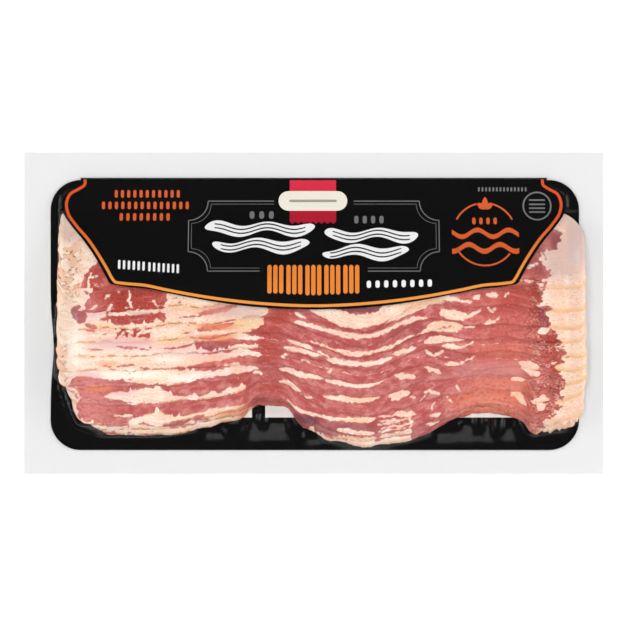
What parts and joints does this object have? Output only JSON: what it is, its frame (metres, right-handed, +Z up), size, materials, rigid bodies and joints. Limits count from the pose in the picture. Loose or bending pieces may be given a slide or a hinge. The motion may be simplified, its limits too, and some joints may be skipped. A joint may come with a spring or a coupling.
{
  "type": "vacuum pack of sliced bacon",
  "caption": "Flat vacuum pack of shingled streaky bacon on a black board with a folded-over label flap, sealed in clear film.",
  "frame": {"origin": "middle of the pack's flat underside", "axes": "+X across the pack along the slices, +Y towards the board's folded end, +Z up out of the shown face"},
  "size_m": [0.27, 0.15, 0.0224],
  "materials": {
    "film": "clear glossy vacuum film",
    "board": "coated black board, satin",
    "bacon": "moist raw meat"
  },
  "bodies": {
    "root": {"lower_web": "film", "backing_board": "board", "slice_01": "bacon", "slice_02": "bacon", "slice_03": "bacon", "slice_04": "bacon", "slice_05": "bacon", "slice_06": "bacon", "slice_07": "bacon", "slice_08": "bacon", "slice_09": "bacon", "slice_10": "bacon", "slice_11": "bacon", "upper_web": "film"}
  },
  "joints": []
}
